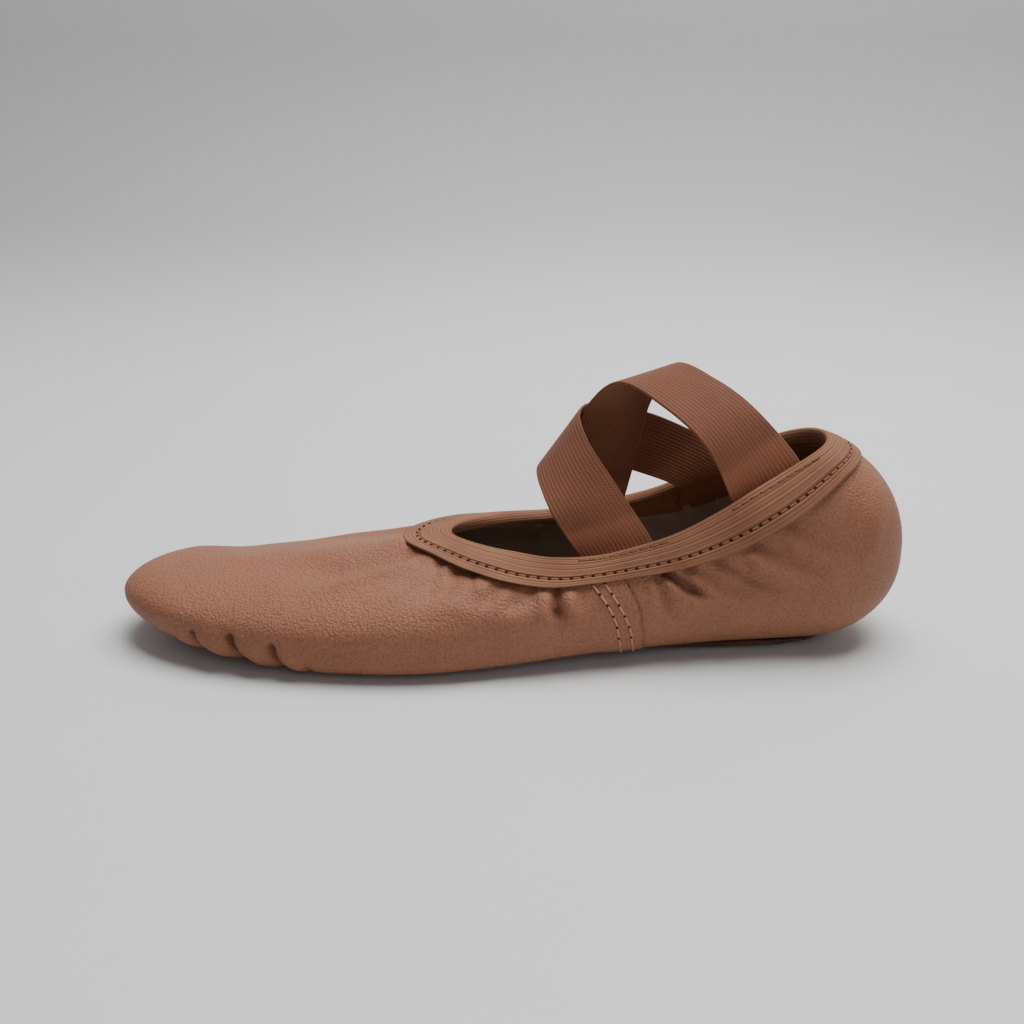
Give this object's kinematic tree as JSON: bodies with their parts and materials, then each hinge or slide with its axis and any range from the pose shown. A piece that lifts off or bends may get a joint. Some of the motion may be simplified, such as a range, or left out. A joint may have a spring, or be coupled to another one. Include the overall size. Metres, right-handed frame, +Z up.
{
  "type": "soft leather ballet slipper",
  "caption": "Soft peach leather ballet slipper with a ribbed elastic collar binding, crossed elastic straps and a thin suede sole, standing empty and unbent.",
  "frame": {"origin": "on the floor under the middle of the shoe's bounding box", "axes": "X runs along the foot from the toe at minus X to the heel at plus X, Y runs across the shoe, Z is up"},
  "size_m": [0.23, 0.0816, 0.0797],
  "materials": {
    "leather": "fine pebbled grain, satin",
    "binding_tape": "ribbed matt elastic tape",
    "strap_elastic": "ribbed matt elastic webbing",
    "suede": "napped matt suede",
    "cotton": "plain matt woven cotton"
  },
  "bodies": {
    "root": {"upper": "leather", "binding": "binding_tape", "outsole": "suede", "insole": "cotton", "strap_front": "strap_elastic", "strap_back": "strap_elastic"}
  },
  "joints": []
}
